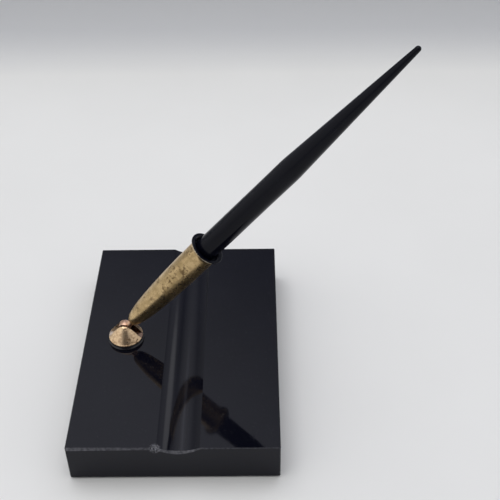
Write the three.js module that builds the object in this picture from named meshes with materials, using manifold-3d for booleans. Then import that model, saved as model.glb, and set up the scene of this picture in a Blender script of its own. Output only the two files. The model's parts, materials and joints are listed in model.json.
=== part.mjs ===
// Desk pen stand: a black glass base with a pen channel, a brass swivel that turns on the
// base, a brass socket that tilts in the swivel, and a tapered desk pen with a plunger filler.
//
// Millimetres. +X to the right, +Y away from the writer, +Z up.
// Origin: centre of the underside. The swivel, the socket and the pen are nested groups,
// each with its own axis along local +Z.

import * as THREE from 'three';
import { mergeVertices } from 'three/addons/utils/BufferGeometryUtils.js';
import Module from 'manifold-3d';

const wasm = await Module();
wasm.setup();

// ---------------------------------------------------------------- driving dimensions

const INCH = 25.4;
const FIT = 0.1; // gap between neighbouring pieces
const RUNNING = 0.06; // radial clearance of a piece that turns or slides
const THREAD = 0.05; // radial gap between a screw and what it screws into
const ROUND = 24; // sides of a turned piece
const FINE_ROUND = 40; // sides of the dome, its seat and the knuckle
const SMALL_ROUND = 20; // sides of the small screws
const BEYOND = 1; // how far a cutting tool passes the surface it cuts

const base = {
  width: 3.5 * INCH,
  depth: 5 * INCH,
  thickness: 0.75 * INCH,
  arris: 0.5,
  felt: 0.6,
  feltInset: 1.2,
};
const channel = { x: 2.2, width: 18, depth: 2.6 };
const swivel = { x: -INCH, y: 0, turn: -4.5, radius: 7.8, bottom: 1.76, top: 9.0 };
const slot = { width: 3.5, floor: 2.4 };
const pivot = {
  height: 7.2,
  knuckleRadius: 2.85,
  screwRadius: 0.8,
  headRadius: 1.15,
  headSeat: 2.7,
  screwTip: -2.9,
};
const stem = { radius: 2.0, bushRadius: 3.2, counterboreRadius: 8.0, counterboreDepth: 9 };
const clamp = { radius: 7, thickness: 1 };
const stemNutSize = { radius: 4.6, height: 3.2 };
const spring = { outer: 5.2, sheet: 0.45, height: 1.1 };
const socket = {
  elevation: 51.2,
  axisHeight: 6.5, // where the funnel's axis crosses the swivel's, a little under the pivot
  start: 5.2,
  swellEnd: 61.6,
  flareStart: 60.8,
  mouth: 63.4,
  radius: 6.15,
  lipRadius: 7.48,
  wall: 0.5,
};
const liner = {
  top: 64.15,
  flangeRadius: 7.8,
  dishRadius: 6.4,
  mouthBore: 5.5,
  bore: 4.8,
  step: 62.2,
  wall: 0.6,
  floor: 10.6,
};
const pen = { lean: 0.6, seat: 64.4, insert: 52.1, length: 175 };
const barrel = { start: 50.5, end: 104.6, frontRadius: 5.06, endRadius: 4.92, bore: 4.3 };
const tube = { radius: 3.8, wall: 0.3, start: 62, end: 106.4 };

const tilt = THREE.MathUtils.degToRad(90 - socket.elevation);
const axisDrop = pivot.height - socket.axisHeight;
const funnelShift = new THREE.Vector3(axisDrop * Math.sin(tilt), 0, -axisDrop * Math.cos(tilt));
const glassBottom = base.felt + FIT;
const glassTop = glassBottom + base.thickness;

// ---------------------------------------------------------------- materials

function material(color, roughness, metalness) {
  return new THREE.MeshStandardMaterial({ color, roughness, metalness });
}

const blackGlass = material(0x1c1d21, 0.08, 0.0);
const brass = material(0xb89a6c, 0.32, 1.0);
const copperyBrass = material(0xc79d74, 0.35, 1.0);
const steel = material(0x9a9a98, 0.35, 1.0);
const goldPlate = material(0xd2ab5c, 0.2, 1.0);
const blackPlastic = material(0x1e1f24, 0.22, 0.0);
const ebonite = material(0x19191a, 0.5, 0.0);
const rubber = material(0x26211d, 0.75, 0.0);
const fibre = material(0x3a2d24, 0.8, 0.0);
const felt = material(0x20241f, 1.0, 0.0);

// ---------------------------------------------------------------- geometry helpers

function toSolid(geometry) {
  const bare = geometry.clone();
  bare.deleteAttribute('normal');
  bare.deleteAttribute('uv');
  const merged = mergeVertices(bare, 1e-4);
  const corners = merged.index.array;
  const kept = [];
  for (let i = 0; i < corners.length; i += 3) {
    const [a, b, c] = corners.slice(i, i + 3);
    if (a !== b && b !== c && c !== a) kept.push(a, b, c);
  }
  return new wasm.Manifold(new wasm.Mesh({
    numProp: 3,
    vertProperties: merged.attributes.position.array,
    triVerts: new Uint32Array(kept),
  }));
}

function toGeometry(solid) {
  const mesh = solid.getMesh();
  const geometry = new THREE.BufferGeometry();
  geometry.setAttribute('position', new THREE.BufferAttribute(mesh.vertProperties, 3));
  geometry.setIndex(new THREE.BufferAttribute(mesh.triVerts, 1));
  geometry.computeVertexNormals();
  return geometry;
}

function subtract(geometry, ...tools) {
  return toGeometry(tools.reduce((solid, tool) => solid.subtract(toSolid(tool)), toSolid(geometry)));
}

function join(geometry, ...others) {
  return toGeometry(others.reduce((solid, other) => solid.add(toSolid(other)), toSolid(geometry)));
}

// Turns a closed outline of [radius, height] points about the local Z axis. The outline
// runs up the outside and down the inside, or from axis to axis.
function turned(outline, sides = ROUND) {
  const points = outline.map(([r, z]) => new THREE.Vector2(r, z));
  if (outline[0][0] > 0) points.push(points[0].clone());
  return new THREE.LatheGeometry(points, sides).rotateX(Math.PI / 2);
}

function ring(inner, outer, low, high, sides = ROUND) {
  return turned([[inner, low], [outer, low], [outer, high], [inner, high]], sides);
}

function rod(radius, low, high, sides = ROUND) {
  return turned([[0, low], [radius, low], [radius, high], [0, high]], sides);
}

function block(width, depth, height, x, y, z) {
  return new THREE.BoxGeometry(width, depth, height).translate(x, y, z);
}

// Points of a round corner, angles in degrees.
function arc(centreR, centreZ, radius, from, to, steps) {
  return Array.from({ length: steps + 1 }, (_, i) => {
    const angle = THREE.MathUtils.degToRad(from + ((to - from) * i) / steps);
    return [centreR + radius * Math.cos(angle), centreZ + radius * Math.sin(angle)];
  });
}

// The zigzag of a screw thread's section: crests at radius, roots below it.
function threadOutline(radius, depth, pitch, low, high) {
  const turns = Math.floor((high - low) / pitch);
  return Array.from({ length: turns }, (_, i) => [
    [radius - depth, low + i * pitch],
    [radius, low + (i + 0.5) * pitch],
  ]).flat().concat([[radius - depth, low + turns * pitch]]);
}

function named(name, geometry, look) {
  const mesh = new THREE.Mesh(geometry, look);
  mesh.name = name;
  return mesh;
}

function group(...children) {
  return new THREE.Group().add(...children);
}

// ---------------------------------------------------------------- base

function slabOutline() {
  const { width, thickness, arris } = base;
  const half = width / 2 - arris;
  const chord = channel.width / 2;
  const radius = (chord ** 2 + channel.depth ** 2) / (2 * channel.depth);
  const spread = THREE.MathUtils.radToDeg(Math.asin(chord / radius));
  const centre = thickness - channel.depth + radius;
  const channelArc = arc(channel.x, centre, radius, 270 + spread, 270 - spread, 16);
  const corners = [
    [-half, 0],
    [half, 0],
    [half + arris, arris],
    [half + arris, thickness - arris],
    [half, thickness],
    ...channelArc,
    [-half, thickness],
    [-half - arris, thickness - arris],
    [-half - arris, arris],
  ];
  return new THREE.Shape(corners.map(([x, z]) => new THREE.Vector2(x, z)));
}

function baseSlab() {
  const { depth, thickness, arris } = base;
  const slab = new THREE.ExtrudeGeometry(slabOutline(), {
    depth: depth - 2 * arris,
    bevelThickness: arris,
    bevelSize: arris * 0.8,
    bevelOffset: -arris * 0.8,
    bevelSegments: 1,
  });
  slab.translate(0, 0, arris - depth / 2).rotateX(Math.PI / 2);
  const hole = rod(stem.bushRadius + FIT, -BEYOND, thickness + BEYOND);
  hole.translate(swivel.x, swivel.y, 0);
  const recess = rod(stem.counterboreRadius, -BEYOND, stem.counterboreDepth);
  recess.translate(swivel.x, swivel.y, 0);
  const mesh = named('base_slab', subtract(slab, hole, recess), blackGlass);
  mesh.position.z = glassBottom;
  return mesh;
}

function feltPad() {
  const { width, depth, feltInset } = base;
  const pad = block(width - 2 * feltInset, depth - 2 * feltInset, base.felt, 0, 0, base.felt / 2);
  return named('felt_pad', pad, felt);
}

function seatWasher() {
  const outer = swivel.radius + 0.4;
  const top = swivel.bottom - FIT;
  const edge = 0.6;
  const washer = turned([
    [stem.radius + RUNNING, FIT],
    [outer, FIT],
    ...arc(outer - edge, top - edge, edge, 0, 90, 4),
    [stem.radius + RUNNING, top],
  ], FINE_ROUND);
  return named('seat_washer', washer, blackPlastic);
}

function stemBush() {
  const low = stem.counterboreDepth - base.thickness;
  return named('stem_bush', ring(stem.radius + RUNNING, stem.bushRadius, low + FIT, 0), fibre);
}

function clampWasher() {
  const top = stem.counterboreDepth - base.thickness - FIT;
  const washer = ring(stem.radius + RUNNING, clamp.radius, top - clamp.thickness, top);
  return named('clamp_washer', washer, steel);
}

// ---------------------------------------------------------------- swivel

const underClamp = stem.counterboreDepth - base.thickness - clamp.thickness - 2 * FIT;
const nutTop = underClamp - spring.height - FIT;
const nutLow = nutTop - stemNutSize.height;

function swivelDome() {
  const { radius, bottom, top } = swivel;
  const dome = turned([
    [0, bottom],
    [radius, bottom],
    [radius, bottom + 0.35],
    [radius - 0.35, bottom + 0.75],
    [6.2, 4.1],
    [4.8, 6.05],
    [3.5, 7.6],
    ...arc(1.3, top - 2, 2, 32, 90, 4),
    [0, top],
  ], FINE_ROUND);
  const { width, floor } = slot;
  const gap = block(4 * radius, width, 2 * top, 0, 0, floor + top);
  const stemHole = rod(stem.radius + THREAD, bottom - BEYOND, floor + BEYOND);
  const { screwRadius, headRadius, headSeat, screwTip, height } = pivot;
  const screwHole = turned([
    [0, screwTip - 0.3],
    [screwRadius + THREAD, screwTip - 0.3],
    [screwRadius + THREAD, headSeat],
    [headRadius + THREAD, headSeat],
    [headRadius + THREAD, radius],
    [0, radius],
  ], SMALL_ROUND);
  screwHole.rotateX(-Math.PI / 2).translate(0, 0, height);
  return named('swivel_dome', subtract(dome, gap, stemHole, screwHole), brass);
}

function swivelStem() {
  const low = nutLow - 1;
  const shaft = turned([
    [0, low],
    [stem.radius - 0.4, low],
    ...threadOutline(stem.radius, 0.3, 1.0, low + 0.3, underClamp),
    [stem.radius, underClamp + 0.4],
    [stem.radius, slot.floor - 0.05],
    [0, slot.floor - 0.05],
  ]);
  return named('swivel_stem', shaft, steel);
}

function springWasher() {
  const inner = stem.radius + 0.2;
  const { outer, sheet, height } = spring;
  const rise = height - sheet - FIT;
  const low = nutTop + FIT;
  const washer = turned([
    [inner, low + rise],
    [outer, low],
    [outer, low + sheet],
    [inner, low + rise + sheet],
  ]);
  return named('spring_washer', washer, steel);
}

function stemNut() {
  const nut = rod(stemNutSize.radius, nutLow, nutTop, 6);
  const bore = rod(stem.radius + THREAD, nutLow - BEYOND, nutTop + BEYOND);
  return named('stem_nut', subtract(nut, bore), steel);
}

// Lies across the slot: its tip threads into the front lobe and its head sits in the rear one.
function pivotScrew() {
  const { screwRadius, headRadius, headSeat, screwTip, height } = pivot;
  const headTop = headSeat + 0.8;
  const screw = turned([
    [0, screwTip],
    [screwRadius - 0.2, screwTip],
    [screwRadius, screwTip + 0.2],
    [screwRadius, headSeat + 0.05],
    [headRadius, headSeat + 0.05],
    [headRadius, headTop - 0.15],
    [headRadius - 0.15, headTop],
    [0, headTop],
  ], SMALL_ROUND);
  const driverSlot = block(4, 0.4, 0.8, 0, 0, headTop);
  const mesh = named('pivot_screw', subtract(screw, driverSlot), steel);
  mesh.rotation.x = -Math.PI / 2;
  mesh.position.z = height;
  return mesh;
}

// ---------------------------------------------------------------- socket

// Outer radius of the funnel at a distance along its axis from the swivel's axis: it swells
// fast from the narrow end, runs almost straight, and flares at the lip.
function funnelRadius(distance) {
  const { start, swellEnd, flareStart, mouth, radius, lipRadius } = socket;
  const swell = Math.min((distance - start) / (swellEnd - start), 1);
  const flare = Math.max((distance - flareStart) / (mouth - flareStart), 0);
  return radius * (1 - (1 - swell) ** 2.2) ** 0.3 + (lipRadius - radius) * flare ** 2;
}

// Distances that crowd together where the outline curves: at the narrow end and in the flare.
function funnelStations(from, to, swellSteps, flareSteps = 3) {
  const straightEnd = Math.min(to, socket.flareStart);
  const swell = Array.from({ length: swellSteps + 1 }, (_, i) => (
    from + (straightEnd - from) * (i / swellSteps) ** 1.7
  ));
  const flare = Array.from({ length: flareSteps }, (_, i) => (
    straightEnd + ((to - straightEnd) * (i + 1)) / flareSteps
  ));
  return to > straightEnd ? [...swell, ...flare] : swell;
}

const stub = { radius: 1.1, neck: 1.5, shoulder: 5.5, top: 9.6 };
const knuckleNutSize = { radius: 2.0, low: 7.2, height: 1.8 };
const shellFloor = { outside: 5.75, inside: 7.0 };

// A round tongue on the pivot screw, with a threaded stub that holds the funnel.
function knuckle() {
  const thickness = slot.width - 0.3;
  const disc = rod(pivot.knuckleRadius, -thickness / 2, thickness / 2, FINE_ROUND);
  disc.rotateX(Math.PI / 2);
  const neck = turned([
    [0, 1.5],
    [stub.neck, 1.5],
    [stub.neck, stub.shoulder],
    [stub.radius, stub.shoulder],
    [stub.radius, stub.top],
    [0, stub.top],
  ]);
  neck.translate(funnelShift.x, 0, funnelShift.z);
  const bore = rod(pivot.screwRadius + RUNNING, -slot.width, slot.width, SMALL_ROUND);
  bore.rotateX(Math.PI / 2);
  return named('knuckle', subtract(join(disc, neck), bore), copperyBrass);
}

function knuckleNut() {
  const { radius, low, height } = knuckleNutSize;
  const nut = rod(radius, low, low + height, 6);
  const bore = rod(stub.radius + THREAD, low - BEYOND, low + height + BEYOND);
  return named('knuckle_nut', subtract(nut, bore), steel);
}

function socketShell() {
  const { outside, inside } = shellFloor;
  const outer = funnelStations(outside, socket.mouth, 10).map((s) => [funnelRadius(s), s]);
  const inner = funnelStations(inside, socket.mouth, 7)
    .map((s) => [funnelRadius(s) - socket.wall, s])
    .reverse();
  const hole = stub.radius + THREAD;
  return named('socket_shell', turned([[hole, outside], ...outer, ...inner, [hole, inside]]), brass);
}

function linerOuterRadius(distance) {
  return funnelRadius(distance) - socket.wall - FIT;
}

function linerBore(distance) {
  return Math.min(linerOuterRadius(distance) - liner.wall, liner.bore);
}

// A closed-bottom sleeve. Its flange covers the funnel's lip and dishes into the bore, and
// the pen's barrel stops on the step.
function socketLiner() {
  const { top, flangeRadius, dishRadius, mouthBore, step, floor } = liner;
  const flangeLow = socket.mouth + FIT;
  const edge = 0.25;
  const outside = funnelStations(floor, socket.mouth, 7).map((s) => [linerOuterRadius(s), s]);
  const inside = funnelStations(floor + 0.8, step, 6, 1).map((s) => [linerBore(s), s]).reverse();
  const profile = [
    [0, floor],
    ...outside,
    [linerOuterRadius(socket.mouth), flangeLow],
    [flangeRadius - 0.1, flangeLow],
    ...arc(flangeRadius - edge, top - edge, edge, 0, 90, 2),
    [dishRadius, top - 0.3],
    [mouthBore + 0.1, top - 0.8],
    [mouthBore, step],
    ...inside,
    [0, floor + 0.8],
  ];
  return named('socket_liner', turned(profile), blackPlastic);
}

// ---------------------------------------------------------------- pen
// Local Z runs from the writing point towards the tail, and local -X is the nib's top.

const nibSheet = { outer: 2.85, inner: 2.6, end: 26, bendFrom: 13, drop: 1.3 };
const section = { start: 20, lip: 3.9, front: 3.65, rear: 4.45, spigot: 58, nipple: 63 };

function nibOutline() {
  const outline = new THREE.Shape();
  outline.moveTo(-0.3, 0);
  outline.lineTo(0.3, 0);
  outline.bezierCurveTo(0.9, 4, 2.2, 7, 2.75, 13);
  outline.lineTo(2.75, nibSheet.end + 1);
  outline.lineTo(-2.75, nibSheet.end + 1);
  outline.lineTo(-2.75, 13);
  outline.bezierCurveTo(-2.2, 7, -0.9, 4, -0.3, 0);
  return outline;
}

// A curved sheet of the outline's plan, slit from the point to a round breather hole, and
// bent down towards the feed at the point.
function nib() {
  const rings = 13;
  const { outer, inner, end, bendFrom, drop } = nibSheet;
  const outside = Array.from({ length: rings + 1 }, (_, i) => [outer, (i * end) / rings]);
  const inside = outside.map(([, z]) => [inner, z]).reverse();
  const sheet = toSolid(turned([...outside, ...inside], 40));
  const plan = new THREE.ExtrudeGeometry(nibOutline(), { depth: 6, bevelEnabled: false });
  plan.translate(0, 0, 0.6).applyMatrix4(new THREE.Matrix4().makeBasis(
    new THREE.Vector3(0, -1, 0),
    new THREE.Vector3(0, 0, 1),
    new THREE.Vector3(-1, 0, 0),
  ));
  const slit = block(6, 0.12, 9, -3, 0, 4);
  const breather = rod(0.5, 0, 6, 16).rotateY(-Math.PI / 2).translate(0, 0, 8.7);
  const shaped = toGeometry(
    sheet.intersect(toSolid(plan)).subtract(toSolid(slit)).subtract(toSolid(breather)),
  );
  const place = shaped.getAttribute('position');
  for (let i = 0; i < place.count; i += 1) {
    const bend = Math.max(0, bendFrom - place.getZ(i)) / bendFrom;
    place.setX(i, place.getX(i) + drop * bend ** 2);
  }
  shaped.computeVertexNormals();
  return named('nib', shaped, goldPlate);
}

// The ink feed under the nib, with a comb of fins across its underside.
function feed() {
  const radius = nibSheet.inner - FIT;
  const body = turned([
    [0, 3],
    [0.6, 3],
    [1.35, 5.5],
    [2.0, 9],
    [radius, 13],
    [radius, nibSheet.end],
    [0, nibSheet.end],
  ]);
  const fins = { count: 7, first: 10, pitch: 1.15, gap: 0.45, cut: 2.2, centre: 2.2 };
  const gaps = Array.from({ length: fins.count }, (_, i) => (
    block(fins.cut, 3 * radius, fins.gap, fins.centre, 0, fins.first + i * fins.pitch)
  ));
  return named('feed', subtract(body, ...gaps), ebonite);
}

function gripSection() {
  const { start, lip, front, rear, spigot, nipple } = section;
  const nibBore = nibSheet.outer + FIT;
  const sac = 2.3;
  const channelRadius = 0.9;
  const shoulder = barrel.start - FIT;
  const profile = [
    [nibBore, start],
    [lip, start],
    [lip, start + 0.9],
    [front, start + 2],
    [front + 0.2, start + 12],
    [rear, shoulder - 3],
    [rear, shoulder],
    ...threadOutline(barrel.bore - FIT, 0.25, 1.5, shoulder + 0.1, spigot),
    [sac, spigot],
    [sac, nipple],
    [channelRadius, nipple],
    [channelRadius, nibSheet.end + 0.4],
    [nibBore, nibSheet.end + 0.4],
  ];
  return named('grip_section', turned(profile), blackPlastic);
}

const packing = { ledge: 96.6, seal: 97.9, nutLow: 98.5, nutHigh: 100.6 };

function penBarrel() {
  const { start, end, frontRadius, endRadius, bore } = barrel;
  const guide = tube.radius + RUNNING;
  const profile = [
    [bore, start],
    [frontRadius - 0.25, start],
    [frontRadius, start + 0.3],
    [THREE.MathUtils.lerp(frontRadius, endRadius, 0.6), start + 26],
    [endRadius, end - 16],
    [endRadius, end],
    [bore, end],
    [bore, packing.ledge + 0.7],
    [guide, packing.ledge + 0.7],
    [guide, packing.ledge],
    [bore, packing.ledge - 0.5],
  ];
  return named('barrel', turned(profile), blackPlastic);
}

function inkSac() {
  const low = section.spigot + FIT;
  const high = 94;
  const outer = 2.9;
  const inner = 2.4;
  const profile = [
    [inner, low],
    [outer, low],
    ...arc(0, high - outer, outer, 0, 90, 5),
    ...arc(0, high - outer, inner, 90, 0, 5),
  ];
  return named('ink_sac', turned(profile), rubber);
}

function sacProtector() {
  const low = section.spigot + FIT;
  const high = 95.4;
  const outer = 3.35;
  const inner = 3.1;
  const vent = 0.6;
  const profile = [
    [inner, low],
    [outer, low],
    [outer, high],
    [vent, high],
    [vent, high - 0.3],
    [inner, high - 0.3],
  ];
  return named('sac_protector', turned(profile), steel);
}

function sealRing() {
  const minor = (barrel.bore - tube.radius) / 2 - 0.04;
  const major = (barrel.bore + tube.radius) / 2;
  const profile = arc(major, packing.seal, minor, 0, 300, 5);
  return named('seal_ring', turned(profile), rubber);
}

function packingNut() {
  const { nutLow, nutHigh } = packing;
  const nut = ring(tube.radius + RUNNING, barrel.bore - RUNNING, nutLow, nutHigh);
  return named('packing_nut', nut, ebonite);
}

// ---------------------------------------------------------------- filler

const tubeCap = 0.6; // thickness of the tube's closed end
const tailScrew = { shank: 0.8, head: 1.6, headHeight: 1.1, reach: 112 };

function penTaper() {
  const { length } = pen;
  const joint = barrel.end + FIT;
  const tipRadius = 1.15;
  const coneEnd = length - tipRadius;
  const pocket = tube.radius + FIT;
  const collar = barrel.bore - RUNNING;
  const tapHole = tailScrew.shank + THREAD;
  const profile = [
    [pocket, joint - 3.6],
    [collar, joint - 3.6],
    [collar, joint],
    [barrel.endRadius - 0.06, joint],
    [barrel.endRadius, joint + 0.15],
    [THREE.MathUtils.lerp(barrel.endRadius, tipRadius, 0.02), joint + 2.4],
    [THREE.MathUtils.lerp(barrel.endRadius, tipRadius, 0.5), (joint + 1 + coneEnd) / 2],
    ...arc(0, coneEnd, tipRadius, 5, 90, 5),
    [0, tailScrew.reach + 1],
    [tapHole, tailScrew.reach + 0.6],
    [tapHole, tube.end + FIT],
    [pocket, tube.end + FIT],
  ];
  return named('pen_taper', turned(profile), blackPlastic);
}

function plungerTube() {
  const { radius, wall, start, end } = tube;
  const hole = tailScrew.shank + THREAD;
  const profile = [
    [radius - wall, start],
    [radius, start],
    [radius, end],
    [hole, end],
    [hole, end - tubeCap],
    [radius - wall, end - tubeCap],
  ];
  return named('plunger_tube', turned(profile), steel);
}

function tailScrewPiece() {
  const { shank, head, headHeight, reach } = tailScrew;
  const seat = tube.end - tubeCap - FIT;
  const screw = turned([
    [0, seat - headHeight],
    [head, seat - headHeight],
    [head, seat],
    [shank, seat],
    ...threadOutline(shank, 0.15, 1.1, tube.end + 0.3, reach - 0.5),
    [0, reach],
  ], SMALL_ROUND);
  return named('tail_screw', screw, steel);
}

// ---------------------------------------------------------------- assembly

function penGroup() {
  const written = group(
    nib(),
    feed(),
    gripSection(),
    penBarrel(),
    inkSac(),
    sacProtector(),
    sealRing(),
    packingNut(),
    penTaper(),
    plungerTube(),
    tailScrewPiece(),
  );
  written.position.z = -pen.insert;
  const leaning = group(written);
  leaning.position.z = pen.seat;
  leaning.rotation.y = THREE.MathUtils.degToRad(pen.lean);
  return leaning;
}

function socketGroup() {
  const funnel = group(knuckleNut(), socketShell(), socketLiner(), penGroup());
  funnel.position.copy(funnelShift);
  const tilting = group(knuckle(), funnel);
  tilting.position.z = pivot.height;
  tilting.rotation.y = tilt;
  return tilting;
}

function mountGroup() {
  const fixed = group(seatWasher(), stemBush(), clampWasher());
  const turning = group(
    swivelDome(),
    swivelStem(),
    springWasher(),
    stemNut(),
    pivotScrew(),
    socketGroup(),
  );
  turning.rotation.z = THREE.MathUtils.degToRad(swivel.turn);
  const mount = group(fixed, turning);
  mount.position.set(swivel.x, swivel.y, glassTop);
  return mount;
}

export default group(baseSlab(), feltPad(), mountGroup());
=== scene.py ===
# Desk pen stand: a polished black glass base with a pen channel, a brass swivel, a brass
# socket with a black liner, and a tapered black desk pen with a plunger filler.
# Sizes named below are in millimetres; Blender's own are in metres.

import json
import math

import bmesh
import bpy
from mathutils import Matrix, Quaternion, Vector, noise

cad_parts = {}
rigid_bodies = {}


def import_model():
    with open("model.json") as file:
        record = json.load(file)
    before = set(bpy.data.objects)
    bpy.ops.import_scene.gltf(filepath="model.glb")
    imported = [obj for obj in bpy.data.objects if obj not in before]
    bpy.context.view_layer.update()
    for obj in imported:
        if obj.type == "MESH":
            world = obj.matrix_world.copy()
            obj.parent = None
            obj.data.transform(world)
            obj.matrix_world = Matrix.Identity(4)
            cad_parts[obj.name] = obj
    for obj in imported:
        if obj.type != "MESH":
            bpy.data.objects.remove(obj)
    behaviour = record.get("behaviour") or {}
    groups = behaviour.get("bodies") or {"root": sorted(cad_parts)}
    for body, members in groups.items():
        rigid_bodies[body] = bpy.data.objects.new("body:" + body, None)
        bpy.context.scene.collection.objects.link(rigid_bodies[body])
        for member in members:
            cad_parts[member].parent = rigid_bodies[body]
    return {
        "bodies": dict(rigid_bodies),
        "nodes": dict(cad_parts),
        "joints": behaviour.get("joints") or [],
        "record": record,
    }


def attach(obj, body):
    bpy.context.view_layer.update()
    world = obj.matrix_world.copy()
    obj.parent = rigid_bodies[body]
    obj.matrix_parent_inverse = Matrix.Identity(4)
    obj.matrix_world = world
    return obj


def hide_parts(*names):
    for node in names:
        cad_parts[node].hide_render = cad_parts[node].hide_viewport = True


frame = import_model()
for stray in set(bpy.data.objects) - {*frame["nodes"].values(), *frame["bodies"].values()}:
    bpy.data.objects.remove(stray)
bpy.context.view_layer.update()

MM = 0.001
ON_AXIS = 1e-6  # a radius smaller than this is a point on the axis

# ---------------------------------------------------------------- driving dimensions

BASE = {"width": 88.9, "depth": 127.0, "thickness": 19.05, "bottom": 0.7}
ARRIS = {"plain": 0.35, "front_left": 1.0, "front_right": 0.38}
CHANNEL = {"x": 2.2, "width": 18.0, "depth": 2.6}
CHIPS = [(-8.4, 1.1, 0.7), (-7.1, 1.5, 0.95), (-5.9, 1.0, 0.6)]  # x, radius and bite of each
STEM = {"hole": 3.3, "counterbore": 8.0, "counterbore_depth": 9.0}
FELT = {"inset": 1.2, "thickness": 0.6, "fray": 0.12}
WASHER = {"overhang": 0.4, "foot": 0.55, "bore": 2.06, "bottom": 0.1}
DOME = {"radius": 7.8, "bottom": 1.76, "top": 9.0, "slot": 3.5, "slot_floor": 2.4, "stem": 2.05}
NECK = {"radius": 1.5, "start": 1.5, "shoulder": 5.5, "tenon": 1.1, "end": 9.6}
PIVOT = {"radius": 2.85, "screw": 0.8, "head": 1.15, "head_seat": 2.7, "tip": -2.9}
SOCKET = {
    "elevation": 51.2,
    "axis_drop": 0.7,
    "start": 5.2,
    "floor": 5.75,
    "inner_floor": 7.0,
    "swell_end": 61.6,
    "flare_start": 60.8,
    "mouth": 63.4,
    "radius": 6.15,
    "lip": 7.48,
    "wall": 0.5,
    "hole": 1.15,
}
LINER = {
    "top": 64.15,
    "flange": 7.8,
    "dish": 6.4,
    "mouth_bore": 5.5,
    "bore": 4.8,
    "step": 62.2,
    "wall": 0.6,
    "floor": 10.6,
    "fit": 0.1,
}
PEN = {"lean": 0.6, "seat": 64.4, "insert": 52.1, "length": 175.0}
BARREL = {"start": 50.5, "end": 104.6, "front": 5.06, "rear": 4.92, "bore": 4.3, "guide": 3.86}
TUBE = {"radius": 3.8, "wall": 0.3, "start": 62.0, "end": 106.4, "cap": 0.6, "hole": 0.85}
NIB = {"outer": 2.85, "inner": 2.6, "end": 26.0, "bend_from": 13.0, "drop": 1.3, "slit": 0.12}
FEED = {"tip": 3.0, "full": 13.0, "fins": 7, "first_fin": 10.0, "pitch": 1.15, "gap": 0.45}
SECTION = {"start": 20.0, "lip": 3.9, "front": 3.65, "rear": 4.45, "spigot": 58.0, "nipple": 63.0}

# ---------------------------------------------------------------- places, from the joints

joints = {joint["name"]: joint for joint in frame["joints"]}
swivel_origin = Vector(joints["swivel_turn"]["pos_m"])
pivot_origin = Vector(joints["socket_tilt"]["pos_m"])
tilt_axis = Vector(joints["socket_tilt"]["axis"])
heading = math.atan2(tilt_axis.x, -tilt_axis.y)


def tilted(degrees_from_upright):
    """Rotation that turns local Z from upright towards the socket's heading."""
    turn = Matrix.Rotation(heading, 4, "Z")
    return turn @ Matrix.Rotation(math.radians(degrees_from_upright), 4, "Y")


def along_z(distance):
    return Matrix.Translation((0, 0, distance * MM))


SOCKET_TILT = 90 - SOCKET["elevation"]
at_swivel = Matrix.Translation(swivel_origin) @ tilted(0)
at_knuckle = Matrix.Translation(pivot_origin) @ tilted(SOCKET_TILT)
at_funnel = Matrix.Translation(pivot_origin) @ along_z(-SOCKET["axis_drop"]) @ tilted(SOCKET_TILT)
lean = Matrix.Rotation(math.radians(PEN["lean"]), 4, "Y")
at_pen = at_funnel @ along_z(PEN["seat"]) @ lean @ along_z(-PEN["insert"])

# ---------------------------------------------------------------- mesh helpers


def lerp(a, b, t):
    return a + (b - a) * t


def arc(centre, radius, start, end, steps):
    """Points of a round corner, angles in degrees."""
    angles = [math.radians(lerp(start, end, i / steps)) for i in range(steps + 1)]
    return [(centre[0] + radius * math.cos(a), centre[1] + radius * math.sin(a)) for a in angles]


def curve_through(points, steps):
    """A smooth curve through the points, for a swelling outline."""
    ends = [points[0], *points, points[-1]]
    curve = []
    for i in range(len(points) - 1):
        p0, p1, p2, p3 = (Vector(ends[i + k]) for k in range(4))
        for k in range(steps):
            t = k / steps
            spread = (p2 - p0) * t + (2 * p0 - 5 * p1 + 4 * p2 - p3) * t**2
            point = p1 + (spread + (3 * p1 - p0 - 3 * p2 + p3) * t**3) / 2
            curve.append(tuple(point))
    return [*curve, tuple(points[-1])]


def finish_mesh(name, mesh_builder, at, sharp=30):
    mesh = bpy.data.meshes.new(name)
    bmesh.ops.recalc_face_normals(mesh_builder, faces=mesh_builder.faces)
    mesh_builder.to_mesh(mesh)
    mesh_builder.free()
    mesh.transform(Matrix.Scale(MM, 4))
    mesh.shade_smooth()
    mesh.set_sharp_from_angle(angle=math.radians(sharp))
    piece = bpy.data.objects.new(name, mesh)
    piece.matrix_world = at
    bpy.context.scene.collection.objects.link(piece)
    return piece


def turned(name, outline, at, sides=96, sharp=30):
    """A closed body turned about local Z. The outline is closed, or runs from axis to axis."""
    build = bmesh.new()
    rings = []
    for radius, height in outline:
        count = sides if radius > ON_AXIS else 1
        angles = [2 * math.pi * i / sides for i in range(count)]
        reach = radius if count > 1 else 0
        points = [(reach * math.cos(a), reach * math.sin(a), height) for a in angles]
        rings.append([build.verts.new(point) for point in points])
    pairs = list(zip(rings, rings[1:]))
    if outline[0][0] > 0:
        pairs.append((rings[-1], rings[0]))
    for low, high in pairs:
        if len(low) == len(high) == 1:
            continue
        for i in range(sides):
            corners = [low[i % len(low)], low[(i + 1) % sides % len(low)]]
            corners += [high[(i + 1) % sides % len(high)], high[i % len(high)]]
            build.faces.new(dict.fromkeys(corners))
    return finish_mesh(name, build, at, sharp)


def block(name, size, centre, at):
    build = bmesh.new()
    bmesh.ops.create_cube(build, size=1.0)
    bmesh.ops.scale(build, vec=size, verts=build.verts)
    bmesh.ops.translate(build, vec=centre, verts=build.verts)
    return finish_mesh(name, build, at)


def settle(piece, sharp=30):
    """Turns the piece's modifiers into its mesh."""
    evaluated = piece.evaluated_get(bpy.context.evaluated_depsgraph_get())
    mesh = bpy.data.meshes.new_from_object(evaluated)
    piece.modifiers.clear()
    piece.data = mesh
    mesh.shade_smooth()
    mesh.set_sharp_from_angle(angle=math.radians(sharp))
    return piece


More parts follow.
